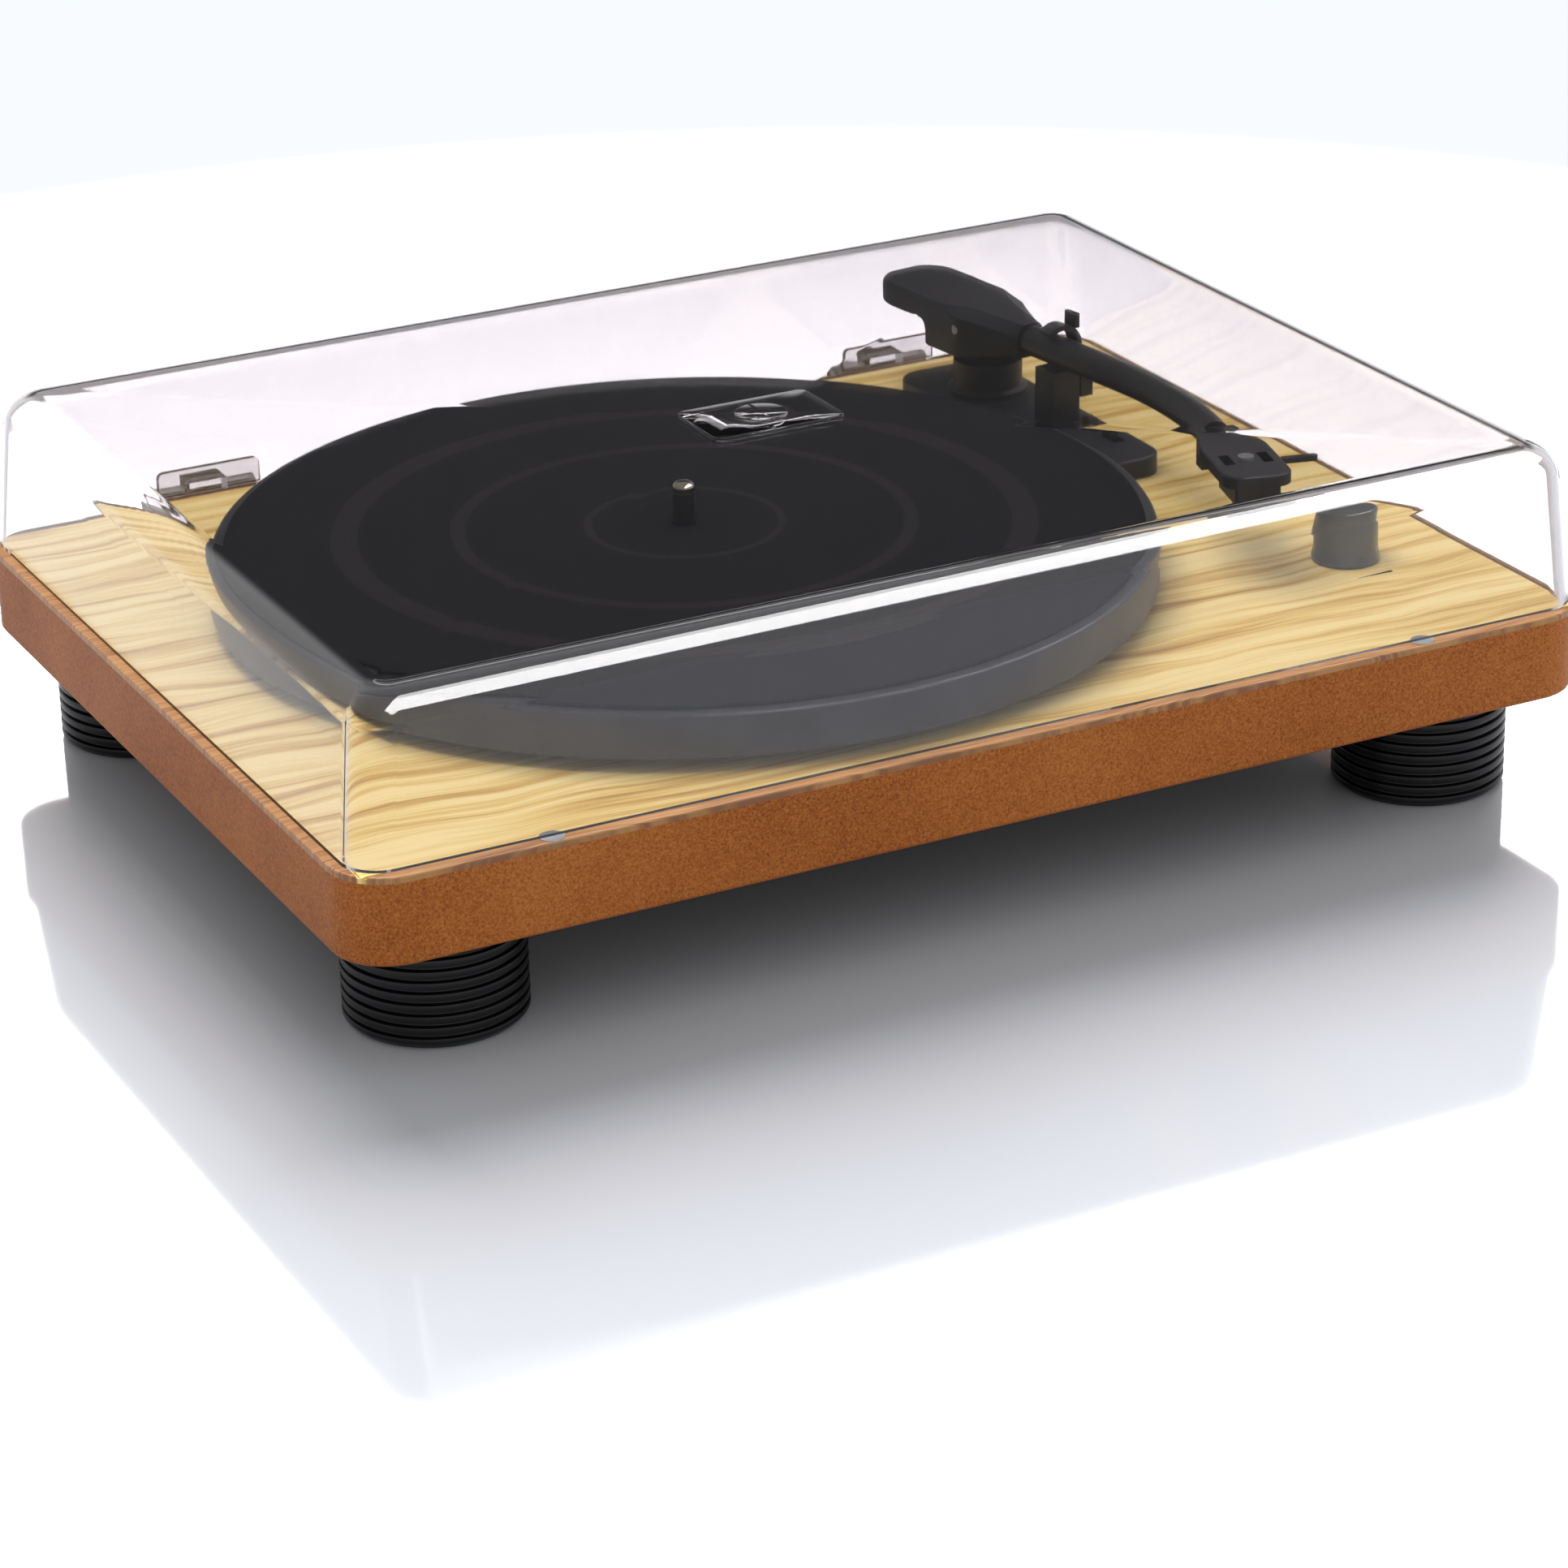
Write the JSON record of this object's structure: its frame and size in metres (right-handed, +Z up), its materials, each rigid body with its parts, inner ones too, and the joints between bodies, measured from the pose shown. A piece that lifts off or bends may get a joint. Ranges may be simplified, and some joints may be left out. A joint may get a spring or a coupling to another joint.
{
  "type": "turntable record player",
  "caption": "Belt-drive record player: wood plinth on tall ribbed feet, felt-covered platter, black moulded tonearm and a hinged clear dust cover.",
  "frame": {"origin": "middle of the footprint (hinges included) on the surface the feet stand on", "axes": "+Z up; +X to the right of someone in front, along the plinth's long side; +Y to the back, where the sockets and cover hinges are"},
  "size_m": [0.42, 0.33, 0.117],
  "materials": {
    "plinth_paint": "copper-brown flecked satin paint on fibreboard",
    "pine_top": "light pine grain, satin lacquer",
    "underside_board": "plain dark fibreboard",
    "black_foot": "ribbed black, slight sheen",
    "screw_steel": "plated screws",
    "clear_rubber": "clear bumper",
    "well_plastic": "moulded black",
    "brass": "turned brass",
    "motor_steel": "zinc plated can",
    "belt_rubber": "flat black rubber",
    "arm_plastic": "fine-textured black ABS",
    "arm_gloss": "smooth black ABS",
    "board_green": "solder-masked laminate",
    "socket_white": "white insulator, plated shell",
    "socket_red": "red insulator, plated shell",
    "panel_black": "textured black",
    "cone_paper": "black paper-like cone",
    "magnet": "ferrite magnet",
    "hinge_plastic": "black hinge moulding",
    "clear_acrylic": "clear polished cover",
    "platter_grey": "dark grey satin rim",
    "mat_felt": "charcoal felt mat with a pale grey ring print",
    "spindle_steel": "polished shaft",
    "weight_iron": "plain",
    "stylus_red": "translucent red moulding",
    "cantilever_alloy": "fine tube",
    "knob_black": "dark grey with a glossy crown"
  },
  "bodies": {
    "plinth": {"plinth_frame": "plinth_paint", "top_panel": "pine_top", "bottom_cover": "underside_board", "foot_front_left": "black_foot", "foot_front_right": "black_foot", "foot_rear_left": "black_foot", "foot_rear_right": "black_foot", "foot_screws": "screw_steel", "cover_bumpers": "clear_rubber", "bearing_well": "well_plastic", "bearing_bush": "brass", "motor": "motor_steel", "drive_belt": "belt_rubber", "tonearm_base": "arm_plastic", "pivot_turret": "arm_plastic", "pivot_bush": "brass", "arm_rest": "arm_plastic", "clip_pin": "screw_steel", "lever_switches": "panel_black", "volume_control": "motor_steel", "circuit_board": "board_green", "board_posts": "well_plastic", "rear_panel": "panel_black", "rca_socket_left": "socket_white", "rca_socket_right": "socket_red", "dc_socket": "panel_black", "power_switch": "panel_black", "speaker_frame_left": "motor_steel", "speaker_frame_right": "motor_steel", "speaker_cones": "cone_paper", "speaker_magnets": "magnet", "hinge_bracket_left": "hinge_plastic", "hinge_bracket_right": "hinge_plastic", "hinge_pins": "screw_steel"},
    "cover": {"dust_cover": "clear_acrylic", "hinge_leaf_left": "hinge_plastic", "hinge_leaf_right": "hinge_plastic"},
    "platter": {"platter": "platter_grey", "platter_mat": "mat_felt", "spindle": "spindle_steel"},
    "pulley": {"motor_pulley": "brass", "motor_shaft": "screw_steel"},
    "yoke": {"pivot_yoke": "arm_plastic", "pivot_shaft": "screw_steel"},
    "arm": {"arm_housing": "arm_plastic", "counterweight": "weight_iron", "arm_tube": "arm_gloss", "headshell": "arm_plastic", "headshell_screw": "screw_steel", "finger_lift": "arm_gloss", "cartridge": "arm_gloss", "stylus_holder": "stylus_red", "cantilever": "cantilever_alloy", "pitch_screws": "screw_steel"},
    "clip": {"arm_clip": "arm_plastic"},
    "volume": {"volume_knob": "knob_black", "knob_shaft": "screw_steel"},
    "speed": {"speed_lever": "panel_black"},
    "auto_stop": {"auto_stop_lever": "panel_black"},
    "power": {"power_rocker": "panel_black"}
  },
  "joints": [
    {"name": "cover_hinge", "type": "hinge", "parent": "plinth", "child": "cover", "pos_m": [0, 0.1605, 0.06], "axis": [-1, 0, 0], "range_deg": [0, 72]},
    {"name": "platter_spin", "type": "hinge", "parent": "plinth", "child": "platter", "pos_m": [-0.028, -0.005, 0.067], "axis": [0, 0, -1], "continuous": true},
    {"name": "pulley_spin", "type": "hinge", "parent": "plinth", "child": "pulley", "pos_m": [-0.10366, 0.07066, 0.07], "axis": [0, 0, -1], "continuous": true},
    {"name": "arm_swing", "type": "hinge", "parent": "plinth", "child": "yoke", "pos_m": [0.138, 0.093, 0.08], "axis": [0, 0, -1], "range_deg": [0, 40]},
    {"name": "arm_lift", "type": "hinge", "parent": "yoke", "child": "arm", "pos_m": [0.138, 0.093, 0.0945], "axis": [-0.9925, -0.1219, 0], "range_deg": [-0.85, 2.7]},
    {"name": "clip_hinge", "type": "hinge", "parent": "plinth", "child": "clip", "pos_m": [0.15151, 0.05436, 0.09], "axis": [-0.1219, 0.9925, 0], "range_deg": [0, 100]},
    {"name": "volume_turn", "type": "hinge", "parent": "plinth", "child": "volume", "pos_m": [0.166, -0.089, 0.07], "axis": [0, 0, -1], "range_deg": [0, 280]},
    {"name": "speed_slide", "type": "slide", "parent": "plinth", "child": "speed", "axis": [0, -1, 0], "range_m": [0, 0.004]},
    {"name": "auto_stop_slide", "type": "slide", "parent": "plinth", "child": "auto_stop", "axis": [0, -1, 0], "range_m": [0, 0.004]},
    {"name": "power_rock", "type": "hinge", "parent": "plinth", "child": "power", "pos_m": [0.0776, 0.151, 0.04805], "axis": [0, 0, 1], "range_deg": [-16, 0]}
  ],
  "couplings": [
    {"joint": "pulley_spin", "follows": "platter_spin", "ratio": 17.6}
  ]
}
